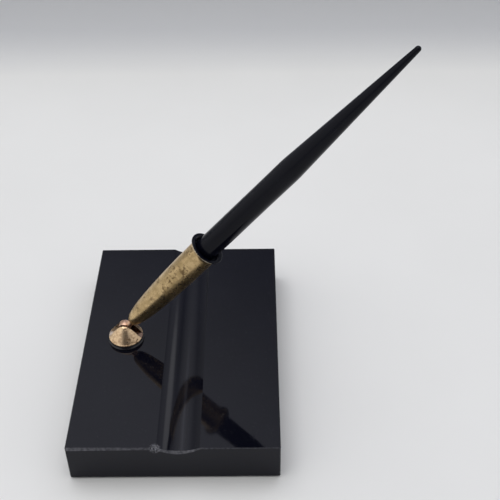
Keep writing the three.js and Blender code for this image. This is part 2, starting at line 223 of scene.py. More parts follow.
def cut(piece, *tools, operation="DIFFERENCE"):
    for tool in tools:
        modifier = piece.modifiers.new("cut", "BOOLEAN")
        modifier.operation = operation
        modifier.solver = "EXACT"
        modifier.object = tool
    settle(piece)
    for tool in tools:
        bpy.data.objects.remove(tool)
    return piece


def soften(piece, width, angle=35, segments=2):
    """Rounds the sharp edges by a small width."""
    modifier = piece.modifiers.new("soften", "BEVEL")
    modifier.width = width * MM
    modifier.segments = segments
    modifier.limit_method = "ANGLE"
    modifier.angle_limit = math.radians(angle)
    modifier.miter_outer = "MITER_ARC"
    return settle(piece)


def thread(radius, depth, pitch, low, high):
    """The rounded zigzag of a thread's section."""
    turns = int((high - low) / pitch)
    steps = 6
    points = []
    for i in range(turns * steps + 1):
        wave = (1 - math.cos(2 * math.pi * i / steps)) / 2
        points.append((radius - depth + depth * wave, low + i * pitch / steps))
    return points


# ---------------------------------------------------------------- material helpers


class Look:
    """A procedural material under construction. Texture scales are features per millimetre."""

    def __init__(self, name, **shader_values):
        self.material = bpy.data.materials.new(name)
        self.material.use_nodes = True
        self.tree = self.material.node_tree
        self.shader = self.tree.nodes["Principled BSDF"]
        for socket, value in shader_values.items():
            self.shader.inputs[socket.replace("_", " ")].default_value = value
        coordinates = self.tree.nodes.new("ShaderNodeTexCoord")
        self.millimetres = self.stretch(coordinates.outputs["Object"], (1 / MM,) * 3)
        self.normal = coordinates.outputs["Normal"]

    def link(self, source, target):
        self.tree.links.new(source, target)

    def stretch(self, source, scale):
        mapping = self.tree.nodes.new("ShaderNodeMapping")
        mapping.inputs["Scale"].default_value = scale
        self.link(source, mapping.inputs["Vector"])
        return mapping.outputs["Vector"]

    def grain(self, scale, low=0.4, high=0.6, detail=3.0, stretch=None):
        """A noise mask from 0 to 1; low and high are where it starts and ends."""
        where = self.stretch(self.millimetres, stretch) if stretch else self.millimetres
        texture = self.tree.nodes.new("ShaderNodeTexNoise")
        texture.inputs["Scale"].default_value = scale
        texture.inputs["Detail"].default_value = detail
        self.link(where, texture.inputs["Vector"])
        return self.spread(texture.outputs["Fac"], low, high, 0.0, 1.0)

    def spread(self, source, low, high, to_low, to_high):
        node = self.tree.nodes.new("ShaderNodeMapRange")
        for socket, value in (
            ("From Min", low),
            ("From Max", high),
            ("To Min", to_low),
            ("To Max", to_high),
        ):
            node.inputs[socket].default_value = value
        self.link(source, node.inputs["Value"])
        return node.outputs["Result"]

    def combine(self, operation, a, b):
        node = self.tree.nodes.new("ShaderNodeMath")
        node.operation = operation
        for socket, value in zip(node.inputs, (a, b)):
            if isinstance(value, (int, float)):
                socket.default_value = value
            else:
                self.link(value, socket)
        return node.outputs["Value"]

    def blend(self, mask, a, b):
        node = self.tree.nodes.new("ShaderNodeMix")
        node.data_type = "RGBA"
        self.link(mask, node.inputs["Factor"])
        for socket, value in zip((node.inputs[6], node.inputs[7]), (a, b)):
            if isinstance(value, tuple):
                socket.default_value = (*value, 1.0)
            else:
                self.link(value, socket)
        return node.outputs[2]

    def colour(self, source):
        self.link(source, self.shader.inputs["Base Color"])

    def roughness(self, source):
        self.link(source, self.shader.inputs["Roughness"])

    def bump(self, height, depth):
        """depth is the height of the relief in millimetres."""
        node = self.tree.nodes.new("ShaderNodeBump")
        node.inputs["Distance"].default_value = depth * MM
        self.link(height, node.inputs["Height"])
        self.link(node.outputs["Normal"], self.shader.inputs["Normal"])

    def axis(self, letter):
        """One coordinate of the surface, in millimetres."""
        split = self.tree.nodes.new("ShaderNodeSeparateXYZ")
        self.link(self.millimetres, split.inputs["Vector"])
        return split.outputs[letter]

    def product(self, *masks):
        result = masks[0]
        for mask in masks[1:]:
            result = self.combine("MULTIPLY", result, mask)
        return result

    def off_line(self, x):
        """Distance from a line that runs from front to back."""
        return self.combine("ABSOLUTE", self.combine("SUBTRACT", self.axis("X"), x), 0)

    def facing(self, letter):
        """One component of the surface's normal."""
        split = self.tree.nodes.new("ShaderNodeSeparateXYZ")
        self.link(self.normal, split.inputs["Vector"])
        return split.outputs[letter]

    def sloping_front(self):
        """A mask that is 1 where the surface slopes to the front, as on the ground arris."""
        return self.spread(self.product(self.facing("Y"), self.facing("Z")), -0.15, -0.35, 0, 1)

    def near(self, point, reach):
        """A mask that fades with the distance from a point."""
        node = self.tree.nodes.new("ShaderNodeVectorMath")
        node.operation = "DISTANCE"
        node.inputs[1].default_value = point
        self.link(self.millimetres, node.inputs[0])
        return self.spread(node.outputs["Value"], reach * 0.6, reach, 1, 0)

    def between_walls(self, half):
        """A mask that is 1 inside a slot along local X, half as wide as half."""
        across = self.combine("ABSOLUTE", self.axis("Y"), 0)
        return self.spread(across, half + 0.02, half + 0.12, 1, 0)

    def turned_grain(self):
        """Highlights spread across the fine rings that turning leaves about local Z."""
        node = self.tree.nodes.new("ShaderNodeTangent")
        node.direction_type = "RADIAL"
        node.axis = "Z"
        self.link(node.outputs["Tangent"], self.shader.inputs["Tangent"])


# ---------------------------------------------------------------- materials


def polished_glass():
    """Polished black glass: the channel is rubbed by pens, the front arris is ground by hand. Painted
    light on it: shade on the sides, a sheen and a highlight line in the channel, highlights on the
    arris and a glint at the chips.
    """
    look = Look("black_glass", IOR=1.5, Specular_IOR_Level=0.2)
    haze = look.grain(0.05, 0.35, 0.7)
    dust = look.grain(2.6, 0.73, 0.78, detail=1.0)
    lengthwise = (1.0, 0.04, 1.0)
    scratches = look.grain(1.4, 0.66, 0.72, stretch=lengthwise)
    body = look.blend(haze, (0.0026, 0.0028, 0.0058), (0.0036, 0.0038, 0.0072))

    upward = look.spread(look.facing("Z"), 0.6, 0.8, 0, 1)
    # Painted shade: faces that don't face up are painted darker and bluer.
    sides = look.spread(upward, 0, 1, 1, 0)
    body = look.blend(sides, body, (0.0013, 0.0016, 0.0068))
    frontward = look.product(upward, look.spread(look.axis("Y"), 15, -45, 0, 1))
    half = CHANNEL["width"] / 2
    trough = look.spread(look.off_line(CHANNEL["x"]), 1.5, half - 0.5, 1, 0)
    # The channel is rubbed by pens, which roughens it; its colour is painted lighter towards the
    # front as a painted sheen.
    wear_and_sheen = look.product(trough, frontward, look.grain(0.5, 0.1, 0.7, stretch=lengthwise))
    body = look.blend(wear_and_sheen, body, (0.006, 0.006, 0.009))
    # Painted highlight: a soft lighter line along the channel, just right of its middle, broken up by
    # noise.
    highlight_breakup = look.grain(0.3, 0.2, 0.7, stretch=lengthwise)
    highlight_streak = look.spread(look.off_line(CHANNEL["x"] + 1.4), 0.1, 1.5, 1, 0)
    body = look.blend(look.product(highlight_streak, highlight_streak, frontward, highlight_breakup), body, (0.026, 0.026, 0.032))

    ground = look.sloping_front()
    # The ground arris is frosted and lighter; towards the left and along the channel's lip it is
    # painted lighter still, a painted highlight.
    lip = look.spread(look.off_line(CHANNEL["x"]), half - 3, half + 1, 1, 0)
    bright = look.combine("MAXIMUM", look.spread(look.axis("X"), -44, 20, 1, 0.5), lip)
    frost_and_highlight = look.product(ground, bright, look.grain(0.9, 0.1, 0.7))
    body = look.blend(frost_and_highlight, body, (0.13, 0.13, 0.14))
    # Around the middle chip the glass is painted lighter: partly crushed glass, partly a painted
    # glint.
    middle_chip = (CHIPS[1][0], -BASE["depth"] / 2, BASE["thickness"])
    bruise_and_glint = look.product(look.near(middle_chip, 3.0), look.grain(1.5))
    body = look.blend(bruise_and_glint, body, (0.16, 0.16, 0.175))
    look.colour(look.blend(dust, body, (0.035, 0.035, 0.038)))

    rough = look.spread(haze, 0, 1, 0.035, 0.075)
    rougher = ((dust, 0.4), (wear_and_sheen, 0.1), (ground, 0.25), (bruise_and_glint, 0.2), (scratches, 0.04))
    for mask, more in rougher:
        rough = look.combine("ADD", rough, look.combine("MULTIPLY", mask, more))
    look.roughness(rough)
    grooves = look.combine("MULTIPLY", scratches, -0.15)
    look.bump(look.combine("ADD", look.grain(0.06), grooves), 0.006)
    return look.material


def patinated_brass(
    name,
    light,
    dark,
    spots,
    roughness,
    anisotropy,
    blotch=0.42,
    relief=0.012,
    slot_half=0.0,
    darker_foot=False,
):
    """Old brass: soft clouds, blotches and clustered tarnish, and a paler ring at the socket's lip,
    partly rubbed bright and partly a painted highlight.

    A slot is painted with shade, duller and darker, and darker still under the socket. The foot
    darkens towards the neck.
    """
    look = Look(name, Metallic=1.0, Anisotropic=anisotropy)
    clouds = look.grain(0.11, 0.32, 0.68, detail=2.0)
    mottle = look.grain(blotch, 0.4, 0.68, detail=7.0)
    clusters = look.grain(0.13, 0.5, 0.62, detail=1.0)
    flecks = look.grain(0.8, *spots, detail=4.0)
    tarnish = look.combine("MULTIPLY", flecks, clusters)
    scratches = look.grain(0.9, 0.66, 0.7, stretch=(1.0, 1.0, 0.12))
    body = look.blend(clouds, light, tuple(lerp(a, b, 0.45) for a, b in zip(light, dark)))
    body = look.blend(look.combine("MULTIPLY", mottle, 0.68), body, dark)
    body = look.blend(look.combine("MULTIPLY", scratches, 0.25), body, light)
    body = look.blend(look.combine("MULTIPLY", tarnish, 0.7), body, (0.13, 0.082, 0.04))
    mouth, foot = SOCKET["mouth"], SOCKET["floor"]
    # A paler ring at the socket's lip: partly rubbed bright, partly a painted highlight.
    rubbed_lip_and_highlight = look.spread(look.axis("Z"), mouth - 0.6, mouth - 0.2, 0, 0.8)
    body = look.blend(rubbed_lip_and_highlight, body, (0.93, 0.83, 0.64))
    if slot_half:
        # Painted shade in the slot: duller and darker, darker still under the socket.
        shaded_walls = look.between_walls(slot_half)
        body = look.blend(shaded_walls, body, (0.46, 0.38, 0.30))
        shade_under_socket = look.product(shaded_walls, look.spread(look.axis("X"), -3, 0, 0, 1))
        body = look.blend(shade_under_socket, body, (0.20, 0.135, 0.10))
    if darker_foot:
        # Darker towards the neck at the foot.
        foot_darkening = look.spread(look.axis("Z"), foot + 0.3, foot + 2.8, 0.85, 0)
        body = look.blend(foot_darkening, body, (0.15, 0.11, 0.075))
    look.colour(body)
    rough = look.spread(mottle, 0, 1, roughness, roughness + 0.1)
    look.roughness(look.combine("ADD", rough, look.combine("MULTIPLY", tarnish, 0.25)))
    height = look.combine("ADD", look.grain(0.2), look.combine("MULTIPLY", tarnish, -1.0))
    height = look.combine("ADD", height, look.combine("MULTIPLY", look.grain(0.9, 0.3, 0.7), 0.3))
    look.bump(look.combine("ADD", height, look.combine("MULTIPLY", scratches, -0.3)), relief)
    look.turned_grain()
    return look.material


def glossy_plastic():
    look = Look("black_plastic", IOR=1.5, Specular_IOR_Level=0.145)
    wear = look.grain(0.12, 0.35, 0.7)
    hairlines = look.grain(2.2, 0.6, 0.7, stretch=(1.0, 1.0, 0.06))
    look.colour(look.blend(wear, (0.0017, 0.0020, 0.0050), (0.0026, 0.0030, 0.0066)))
    rough = look.spread(wear, 0, 1, 0.13, 0.22)
    look.roughness(look.combine("ADD", rough, look.combine("MULTIPLY", hairlines, 0.1)))
    look.bump(look.combine("ADD", look.grain(0.25), look.combine("MULTIPLY", hairlines, -0.6)), 0.004)
    return look.material


def worked_metal(name, light, dark, roughness):
    look = Look(name, Metallic=1.0, Anisotropic=0.5)
    rings = look.grain(0.6, 0.35, 0.65, detail=5.0, stretch=(0.2, 0.2, 6.0))
    stains = look.grain(0.35, 0.45, 0.7, detail=5.0)
    body = look.blend(rings, light, tuple(lerp(a, b, 0.5) for a, b in zip(light, dark)))
    look.colour(look.blend(stains, body, dark))
    look.roughness(look.spread(stains, 0, 1, roughness, roughness + 0.2))
    look.bump(rings, 0.006)
    look.turned_grain()
    return look.material


def mottled(name, light, dark, scale, roughness, relief):
    look = Look(name)
    mottle = look.grain(scale, 0.3, 0.7, detail=6.0)
    look.colour(look.blend(mottle, light, dark))
    look.roughness(look.spread(mottle, 0, 1, roughness, min(roughness + 0.15, 1.0)))
    look.bump(look.grain(scale * 2.5, 0.3, 0.7), relief)
    return look.material


def pressed_felt():
    look = Look("felt", Roughness=1.0, Sheen_Weight=0.5, Sheen_Roughness=0.5)
    fibres = look.grain(3.0, 0.35, 0.65, detail=8.0, stretch=(1.0, 0.4, 1.0))
    crossed = look.grain(3.2, 0.35, 0.65, detail=8.0, stretch=(0.4, 1.0, 1.0))
    both = look.combine("MULTIPLY", fibres, crossed)
    look.colour(look.blend(both, (0.008, 0.010, 0.008), (0.035, 0.042, 0.034)))
    look.bump(both, 0.12)
    return look.material


LOOKS = {
    "black_glass": polished_glass(),
    "brass": patinated_brass(
        "brass",
        light=(0.68, 0.50, 0.265),
        dark=(0.34, 0.235, 0.105),
        spots=(0.5, 0.58),
        roughness=0.25,
        anisotropy=0.15,
        darker_foot=True,
    ),
    "dome_brass": patinated_brass(
        "dome_brass",
        light=(1.0, 0.75, 0.47),
        dark=(0.44, 0.27, 0.15),
        spots=(0.5, 0.6),
        roughness=0.27,
        anisotropy=0.6,
        blotch=0.8,
        relief=0.05,
        slot_half=DOME["slot"] / 2,
    ),
    "bronze": patinated_brass(
        "bronze",
        light=(0.84, 0.54, 0.37),
        dark=(0.54, 0.33, 0.21),
        spots=(0.56, 0.66),
        roughness=0.24,
        anisotropy=0.15,
    ),
    "steel": worked_metal("steel", (0.50, 0.50, 0.49), (0.25, 0.23, 0.20), 0.25),
    "gold_plate": worked_metal("gold_plate", (0.83, 0.58, 0.22), (0.55, 0.35, 0.12), 0.14),
    "black_plastic": glossy_plastic(),
    "washer_black": mottled(
        "washer_black", (0.006, 0.006, 0.008), (0.012, 0.012, 0.014), 0.8, 0.12, 0.004
    ),
    "ebonite": mottled("ebonite", (0.010, 0.010, 0.010), (0.018, 0.016, 0.014), 0.6, 0.3, 0.01),
    "rubber": mottled("rubber", (0.028, 0.022, 0.018), (0.016, 0.012, 0.010), 0.5, 0.7, 0.03),
    "fibre": mottled("fibre", (0.075, 0.045, 0.028), (0.045, 0.026, 0.016), 1.5, 0.8, 0.03),
    "felt": pressed_felt(),
}


def place(piece, body, slot, look=None, stands_for=()):
    piece.data.materials.clear()
    piece.data.materials.append(LOOKS[look or slot])
    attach(piece, body)
    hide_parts(*stands_for)
    return piece


# ---------------------------------------------------------------- base


def slab_columns():
    """Places across the slab, each with the top's height; the channel is an arc."""
    half = BASE["width"] / 2
    top = BASE["thickness"]
    plain = ARRIS["plain"]
    chord = CHANNEL["width"] / 2
    radius = (chord**2 + CHANNEL["depth"] ** 2) / (2 * CHANNEL["depth"])
    spread = math.degrees(math.asin(chord / radius))
    centre = (CHANNEL["x"], top - CHANNEL["depth"] + radius)
    channel = arc(centre, radius, 270 - spread, 270 + spread, 48)
    left = [(lerp(plain - half, channel[0][0], i / 24), top) for i in range(24)]
    right = [(lerp(channel[-1][0], half - plain, i / 24), top) for i in range(1, 25)]
    return [(-half, top - plain), *left, *channel, *right, (half, top - plain)]


def front_arris(x):
    """The hand-ground edge narrows from left to right, with slight waves."""
    across = (x + BASE["width"] / 2) / BASE["width"]
    width = lerp(ARRIS["front_left"], ARRIS["front_right"], min(across * 1.3, 1.0))
    in_channel = max(1 - abs(x - CHANNEL["x"]) / (CHANNEL["width"] / 2), 0)
    return width + 0.45 * in_channel + 0.09 * noise.noise(Vector((x * 0.35, 1.7, 0.0)))


def slab():
    columns = slab_columns()
    half_depth = BASE["depth"] / 2
    plain = ARRIS["plain"]
    inner = BASE["width"] / 2 - plain
    build = bmesh.new()

    def ring(y_top, y_bottom, end_face, arris):
        """Top and bottom vertices of one cross-section; an end face is inset by the arris."""
        tops, bottoms = [], []
        for x, z in columns:
            at_side = abs(x) > inner + 0.01
            low = plain if at_side else 0
            if end_face:
                x = math.copysign(min(abs(x), inner - (0 if at_side else 0.15)), x)
                z -= max(arris(x) - (plain if at_side else 0), 0)
                low = plain + (0.05 if at_side else 0)
            tops.append(build.verts.new((x, y_top(x), z)))
            bottoms.append(build.verts.new((x, y_bottom, low)))
        return tops, bottoms

    rings = [
        ring(lambda x: -half_depth, -half_depth, True, front_arris),
        ring(lambda x: -half_depth + front_arris(x), -half_depth + plain, False, None),
        ring(lambda x: half_depth - plain, half_depth - plain, False, None),
        ring(lambda x: half_depth, half_depth, True, lambda x: plain),
    ]
    last = len(columns) - 1
    for (near_top, near_low), (far_top, far_low) in zip(rings, rings[1:]):
        for i in range(last):
            build.faces.new((near_top[i], near_top[i + 1], far_top[i + 1], far_top[i]))
            build.faces.new((near_low[i], near_low[i + 1], far_low[i + 1], far_low[i]))
        for i in (0, last):
            build.faces.new((near_top[i], far_top[i], far_low[i], near_low[i]))
    for tops, lows in (rings[0], rings[-1]):
        for i in range(last):
            build.faces.new((tops[i], tops[i + 1], lows[i + 1], lows[i]))
    base = finish_mesh("glass_base", build, Matrix.Translation((0, 0, BASE["bottom"] * MM)), 20)
    here = base.matrix_world @ Matrix.Translation((swivel_origin.x, 0, 0))
    hole, wide, depth = STEM["hole"], STEM["counterbore"], STEM["counterbore_depth"]
    above = BASE["thickness"] + 2
    bore = [(0, -1), (wide, -1), (wide, depth), (hole, depth), (hole, above), (0, above)]
    cut(base, turned("bore", bore, here, 64))
    for chip in chips(base.matrix_world):
        cut(base, chip)
    return base


def top_height(x):
    """Height of the slab's top, found between its columns."""
    columns = slab_columns()
    for (x0, z0), (x1, z1) in zip(columns, columns[1:]):
        if x0 <= x <= x1:
            return lerp(z0, z1, (x - x0) / (x1 - x0))
    return BASE["thickness"]


def chips(place_of_base):
    """Shell-shaped chips out of the front arris, at the left edge of the channel."""
    tools = []
    for i, (x, radius, bite) in enumerate(CHIPS):
        bowl = arc((0, 0), radius, -90, 90, 16)
        y = front_arris(x) * 0.8 - BASE["depth"] / 2
        spot = Vector((x, y, top_height(x) + radius - bite)) * MM
        tools.append(turned(f"chip_{i}", bowl, place_of_base @ Matrix.Translation(spot), 32))
    return tools


def felt_pad():
    width = BASE["width"] - 2 * FELT["inset"]
    depth = BASE["depth"] - 2 * FELT["inset"]
    thick = FELT["thickness"]
    build = bmesh.new()
    bmesh.ops.create_cube(build, size=1.0)
    bmesh.ops.scale(build, vec=(width, depth, thick), verts=build.verts)
    bmesh.ops.translate(build, vec=(0, 0, thick / 2), verts=build.verts)
    bmesh.ops.subdivide_edges(build, edges=build.edges, cuts=60, use_grid_fill=True)
    for vert in build.verts:
        rim = max(abs(vert.co.x) / (width / 2), abs(vert.co.y) / (depth / 2))
        if rim > 0.999:
            fray = FELT["fray"] * abs(noise.noise(vert.co * 0.9))
            vert.co.x -= math.copysign(fray, vert.co.x)
            vert.co.y -= math.copysign(fray, vert.co.y)
    return finish_mesh("felt", build, Matrix.Identity(4), 40)


def seat_washer():
    """A thin washer with a bevelled foot, which shows as a bright line below the dome."""
    bore, bottom = WASHER["bore"], WASHER["bottom"]
    outer = DOME["radius"] + WASHER["overhang"]
    upper = outer - WASHER["foot"]
    top = DOME["bottom"] - 0.1
    foot = [(outer - 0.1, bottom), (outer, bottom + 0.1), (outer, bottom + 0.4)]
    bevel = [(outer - 0.06, bottom + 0.46), (upper + 0.05, bottom + 0.8), (upper, bottom + 0.9)]
    corner = [(upper, top - 0.08), (upper - 0.08, top)]
    outline = [(bore, bottom), *foot, *bevel, *corner, (bore, top)]
    return turned("washer", outline, at_swivel, 128, 50)


# ---------------------------------------------------------------- swivel


def dome():
    radius, bottom, top = DOME["radius"], DOME["bottom"], DOME["top"]
    rim = [(0, bottom), (radius - 0.1, bottom), (radius, bottom + 0.1)]
    rim += arc((radius - 0.3, bottom + 0.42), 0.3, 0, 48, 6)
    flank = curve_through([(7.3, 2.66), (6.2, 4.1), (4.8, 6.05), (3.5, 7.6), (3.02, 8.05)], 8)
    cap = arc((1.3, top - 2), 2, 34, 90, 12)
    body = turned("dome", [*rim, *flank, *cap, (0, top)], at_swivel, 160)
    width = DOME["slot"]
    gap_low = DOME["slot_floor"]
    slot = block("slot", (40, width, 20), (0, 0, gap_low + 10), at_swivel)
    stem = DOME["stem"]
    stem_hole = turned("stem_hole", [(0, 1), (stem, 1), (stem, 4), (0, 4)], at_swivel, 40)
    across = Matrix.Translation(pivot_origin) @ tilted(0) @ Matrix.Rotation(-math.pi / 2, 4, "X")
    screw, head, seat = PIVOT["screw"] + 0.05, PIVOT["head"] + 0.05, PIVOT["head_seat"]
    low = PIVOT["tip"] - 0.3
    bore = turned(
        "bore", [(0, low), (screw, low), (screw, seat), (head, seat), (head, 9), (0, 9)], across, 32
    )
    cut(body, slot, stem_hole, bore)
    return soften(body, 0.12, 40)


def pivot_screw():
    head_top = PIVOT["head_seat"] + 0.8
    low, shank, head = PIVOT["tip"], PIVOT["screw"], PIVOT["head"]
    seat = PIVOT["head_seat"] + 0.05
    rounded = arc((head - 0.15, head_top - 0.15), 0.15, 0, 90, 5)
    outline = [(0, low), (shank - 0.2, low), (shank, low + 0.2), (shank, seat), (head, seat)]
    across = Matrix.Translation(pivot_origin) @ tilted(0) @ Matrix.Rotation(-math.pi / 2, 4, "X")
    screw = turned("screw", [*outline, *rounded, (0, head_top)], across, 48)
    return cut(screw, block("driver_slot", (4, 0.4, 0.8), (0, 0, head_top), across))


# ---------------------------------------------------------------- socket


def funnel_radius(s):
    swell = min((s - SOCKET["start"]) / (SOCKET["swell_end"] - SOCKET["start"]), 1)
    flare = max((s - SOCKET["flare_start"]) / (SOCKET["mouth"] - SOCKET["flare_start"]), 0)
    body = SOCKET["radius"] * (1 - (1 - swell) ** 2.2) ** 0.3
    return body + (SOCKET["lip"] - SOCKET["radius"]) * flare**2


def stations(low, high, steps):
    """Distances that crowd together at the narrow end, and evenly spaced through the flare."""
    straight_end = min(high, SOCKET["flare_start"])
    swell = [lerp(low, straight_end, (i / steps) ** 1.8) for i in range(steps + 1)]
    if high <= straight_end:
        return swell
    return [*swell, *(lerp(straight_end, high, (i + 1) / 12) for i in range(12))]


def knuckle():
    half, radius = (DOME["slot"] - 0.3) / 2, PIVOT["radius"]
    disc = [(0, -half), (radius, -half), (radius, half), (0, half)]
    lying = at_knuckle @ Matrix.Rotation(math.pi / 2, 4, "X")
    body = turned("knuckle_body", disc, lying, 96)
    start, shoulder, end = NECK["start"], NECK["shoulder"], NECK["end"]
    wide, narrow = NECK["radius"], NECK["tenon"]
    neck = [(0, start), (wide, start), (wide, shoulder), (narrow, shoulder), (narrow, end), (0, end)]
    cut(body, turned("neck", neck, at_funnel, 48), operation="UNION")
    screw_hole = PIVOT["screw"] + 0.06
    tool = [(0, -4), (screw_hole, -4), (screw_hole, 4), (0, 4)]
    cut(body, turned("screw_hole", tool, lying, 40))
    return soften(body, 0.14, 40, 3)


def shell():
    low, mouth, wall = SOCKET["floor"], SOCKET["mouth"], SOCKET["wall"]
    outer = [(funnel_radius(s), s) for s in stations(low, mouth - 0.2, 60)]
    lip = arc((SOCKET["lip"] - 0.2, mouth - 0.2), 0.2, 0, 90, 6)
    hole, inner_floor = SOCKET["hole"], SOCKET["inner_floor"]
    inner = [(funnel_radius(s) - wall, s) for s in stations(inner_floor, mouth - 0.02, 36)]
    outline = [(hole, low), *outer, *lip, *reversed(inner), (hole, inner_floor)]
    return turned("funnel", outline, at_funnel, 144)


def liner_outer(s):
    return funnel_radius(s) - SOCKET["wall"] - LINER["fit"]


def liner_bore(s):
    return min(liner_outer(s) - LINER["wall"], LINER["bore"])


def liner():
    low, top, flange = LINER["floor"], LINER["top"], LINER["flange"]
    under = SOCKET["mouth"] + LINER["fit"]
    step, mouth_bore, dish = LINER["step"], LINER["mouth_bore"], LINER["dish"]
    outside = [(liner_outer(s), s) for s in stations(low, SOCKET["mouth"], 30)]
    rim = arc((flange - 0.28, top - 0.28), 0.28, 0, 90, 8)
    dished = curve_through(
        [(dish + 0.1, top), (dish - 0.15, top - 0.2), (mouth_bore + 0.1, top - 0.8)], 6
    )
    inside = [(liner_bore(s), s) for s in stations(low + 0.8, step, 30)]
    outline = [
        (0, low),
        *outside,
        (liner_outer(SOCKET["mouth"]), under),
        (flange - 0.12, under),
        (flange, under + 0.12),
        *rim,
        *dished,
        (mouth_bore, step),
        *reversed(inside),
        (0, low + 0.8),
    ]
    return turned("liner", outline, at_funnel, 128)


# ---------------------------------------------------------------- pen


def pen_barrel():
    start, end, front, rear = BARREL["start"], BARREL["end"], BARREL["front"], BARREL["rear"]
    bore, guide = BARREL["bore"], BARREL["guide"]
    ledge = 96.6
    waist = (lerp(front, rear, 0.6), start + 26)
    outside = curve_through([(front, start + 0.3), waist, (rear, end - 16), (rear, end - 0.06)], 16)
    outline = [
        (bore, start),
        (front - 0.25, start),
        *outside,
        (rear - 0.06, end),
        (bore, end),
        (bore, ledge + 0.7),
        (guide, ledge + 0.7),
        (guide, ledge),
        (bore, ledge - 0.5),
    ]
    return turned("barrel_body", outline, at_pen, 128)


def pen_tail():
    joint = BARREL["end"] + 0.1
    rear, collar, pocket = BARREL["rear"], BARREL["bore"] - 0.06, TUBE["radius"] + 0.1
    tip, tenon = 1.15, 3.6
    tube_hole, tube_end = TUBE["hole"], TUBE["end"] + 0.1
    cone_end = PEN["length"] - tip
    middle = (lerp(rear, tip, 0.5), (joint + 1 + cone_end) / 2)
    slope = math.degrees(math.atan((rear - tip) / (cone_end - joint)))
    cone_start = (lerp(rear, tip, 0.02), joint + 2.4)
    shoulder = curve_through([(rear - 0.06, joint), (rear, joint + 0.1), cone_start], 10)
    cone = [tuple(lerp(a, b, t / 10) for a, b in zip(cone_start, middle)) for t in range(1, 11)]
    point = arc((0, cone_end), tip, slope, 90, 16)
    outline = [
        (pocket, joint - tenon),
        (collar, joint - tenon),
        (collar, joint),
        *shoulder,
        *cone,
        *point[:-1],
        (0, PEN["length"]),
        (0, 113),
        (tube_hole, 112.6),
        (tube_hole, tube_end),
        (pocket, tube_end),
    ]
    return turned("pen_tail", outline, at_pen, 128)


def plunger():
    radius, wall, start, end = TUBE["radius"], TUBE["wall"], TUBE["start"], TUBE["end"]
    outline = [
        (radius - wall, start),
        (radius - 0.08, start),
        (radius, start + 0.08),
        (radius, end - 0.08),
        (radius - 0.08, end),
        (TUBE["hole"], end),
        (TUBE["hole"], end - TUBE["cap"]),
        (radius - wall, end - TUBE["cap"]),
    ]
    return turned("plunger_body", outline, at_pen, 96)


def grip():
    start, lip, front, rear = SECTION["start"], SECTION["lip"], SECTION["front"], SECTION["rear"]
    nib_bore = NIB["outer"] + 0.1
    shoulder = BARREL["start"] - 0.1
    nose = arc((lip - 0.4, start + 0.4), 0.4, -90, 50, 10)
    middle = [(front, start + 2.2), (front + 0.2, start + 12), (rear - 0.05, shoulder - 3)]
    waist = curve_through([nose[-1], *middle, (rear, shoulder - 0.2)], 14)
    outline = [
        (nib_bore, start),
        *nose,
        *waist[1:],
        (rear - 0.1, shoulder),
        *thread(BARREL["bore"] - 0.1, 0.25, 1.5, shoulder + 0.1, SECTION["spigot"]),
        (2.3, SECTION["spigot"]),
        (2.3, SECTION["nipple"]),
        (0.9, SECTION["nipple"]),
        (0.9, NIB["end"] + 0.4),
        (nib_bore, NIB["end"] + 0.4),
    ]
    return turned("grip", outline, at_pen, 96)


def nib_half_width(z):
    """Pointed tines that swell into the shoulders and run on straight."""
    t = min(z / NIB["bend_from"], 1)
    return lerp(0.3, 2.75, math.sin(t * math.pi / 2) ** 1.1)


def nib():
    """A curved sheet, bent down to the feed at the point, slit up to a round breather hole."""
    build = bmesh.new()
    rows, columns = 70, 28
    sheets = []
    for radius in (NIB["outer"], NIB["inner"]):
        sheet = []
        for i in range(rows + 1):
            z = NIB["end"] * (i / rows) ** 1.25
            reach = math.asin(min(nib_half_width(z) / NIB["outer"], 1))
            bend = NIB["drop"] * (max(0, NIB["bend_from"] - z) / NIB["bend_from"]) ** 2
            angles = [lerp(-reach, reach, k / columns) for k in range(columns + 1)]
            points = [(-radius * math.cos(a) + bend, radius * math.sin(a), z) for a in angles]
            sheet.append([build.verts.new(p) for p in points])
        sheets.append(sheet)
    top, under = sheets
    for sheet in sheets:
        for i in range(rows):
            for k in range(columns):
                build.faces.new((sheet[i][k], sheet[i][k + 1], sheet[i + 1][k + 1], sheet[i + 1][k]))
    for i in range(rows):
        for k in (0, columns):
            build.faces.new((top[i][k], top[i + 1][k], under[i + 1][k], under[i][k]))
    for k in range(columns):
        for i in (0, rows):
            build.faces.new((top[i][k], top[i][k + 1], under[i][k + 1], under[i][k]))
    sheet = finish_mesh("nib_sheet", build, at_pen, 35)
    slit = block("slit", (6, NIB["slit"], 9), (-2.0, 0, 4.0), at_pen)
    across = at_pen @ along_z(8.7) @ Matrix.Rotation(-math.pi / 2, 4, "Y")
    breather = turned("breather", [(0, 0), (0.5, 0), (0.5, 6), (0, 6)], across, 32)
    return cut(sheet, slit, breather)


def ink_feed():
    radius = NIB["inner"] - 0.1
    tip, end = FEED["tip"], NIB["end"] - 0.1
    flank = [(0.6, tip + 0.1), (1.35, 5.5), (2.0, 9)]
    nose = curve_through([(0.01, tip), *flank, (radius, FEED["full"])], 8)
    outline = [(0, tip), *nose[1:], (radius, end), (0, end)]
    body = turned("feed_body", outline, at_pen, 64)
    heights = [FEED["first_fin"] + i * FEED["pitch"] for i in range(FEED["fins"])]
    gaps = [block("fin_gap", (2.2, 8, FEED["gap"]), (2.2, 0, z), at_pen) for z in heights]
    return cut(body, *gaps)


# ---------------------------------------------------------------- assembly

